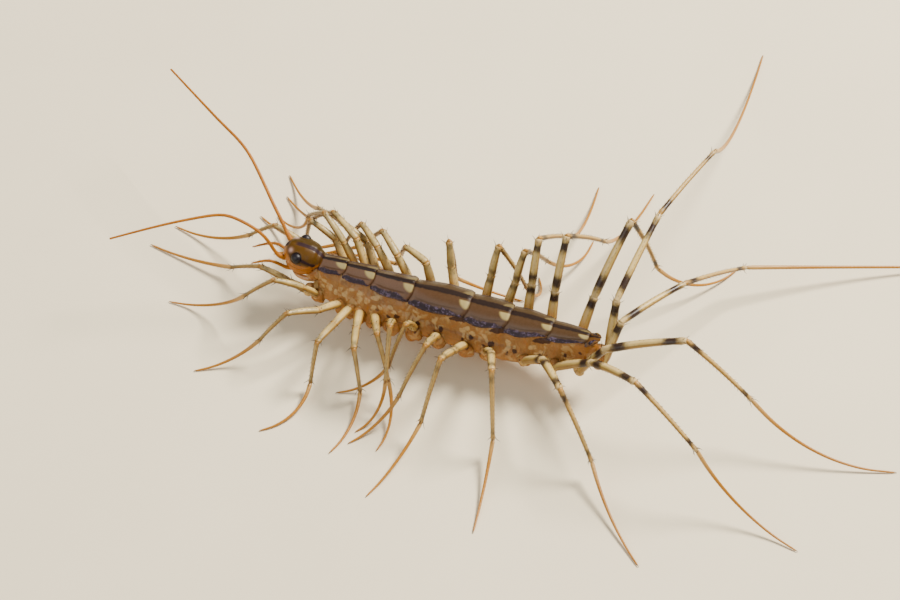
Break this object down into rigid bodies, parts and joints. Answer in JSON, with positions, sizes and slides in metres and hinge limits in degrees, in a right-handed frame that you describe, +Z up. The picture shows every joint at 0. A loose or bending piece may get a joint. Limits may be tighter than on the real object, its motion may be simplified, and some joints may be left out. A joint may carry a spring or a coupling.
{
  "type": "house centipede",
  "caption": "Standing house centipede: narrow body of overlapping striped back plates on long arched jointed legs, with long feelers and very long trailing hind legs; a still display model.",
  "frame": {"origin": "centre of the bounding box, on the floor that the toes stand on", "axes": "+Z up; the body lies along X with the head toward -X and the tail toward +X; the left side of the animal is toward -Y"},
  "size_m": [0.0764, 0.0604, 0.0134],
  "materials": {
    "shell": "satin, thin horny shell",
    "leg": "satin, thin horny shell",
    "eye": "glossy",
    "fang": "glossy",
    "feeler": "satin"
  },
  "bodies": {
    "root": {"trunk_1": "shell", "trunk_2": "shell", "trunk_3": "shell", "trunk_4": "shell", "trunk_5": "shell", "trunk_6": "shell", "trunk_7": "shell", "trunk_8": "shell", "head": "shell", "eye_left": "eye", "eye_right": "eye", "forcipule_left": "fang", "forcipule_right": "fang", "antenna_left": "feeler", "antenna_right": "feeler", "palp_left": "feeler", "palp_right": "feeler", "leg_left_01": "leg", "leg_left_02": "leg", "leg_left_03": "leg", "leg_left_04": "leg", "leg_left_05": "leg", "leg_left_06": "leg", "leg_left_07": "leg", "leg_left_08": "leg", "leg_left_09": "leg", "leg_left_10": "leg", "leg_left_11": "leg", "leg_left_12": "leg", "leg_left_13": "leg", "leg_left_14": "leg", "leg_left_15": "leg", "leg_right_01": "leg", "leg_right_02": "leg", "leg_right_03": "leg", "leg_right_04": "leg", "leg_right_05": "leg", "leg_right_06": "leg", "leg_right_07": "leg", "leg_right_08": "leg", "leg_right_09": "leg", "leg_right_10": "leg", "leg_right_11": "leg", "leg_right_12": "leg", "leg_right_13": "leg", "leg_right_14": "leg", "leg_right_15": "leg"}
  },
  "joints": []
}
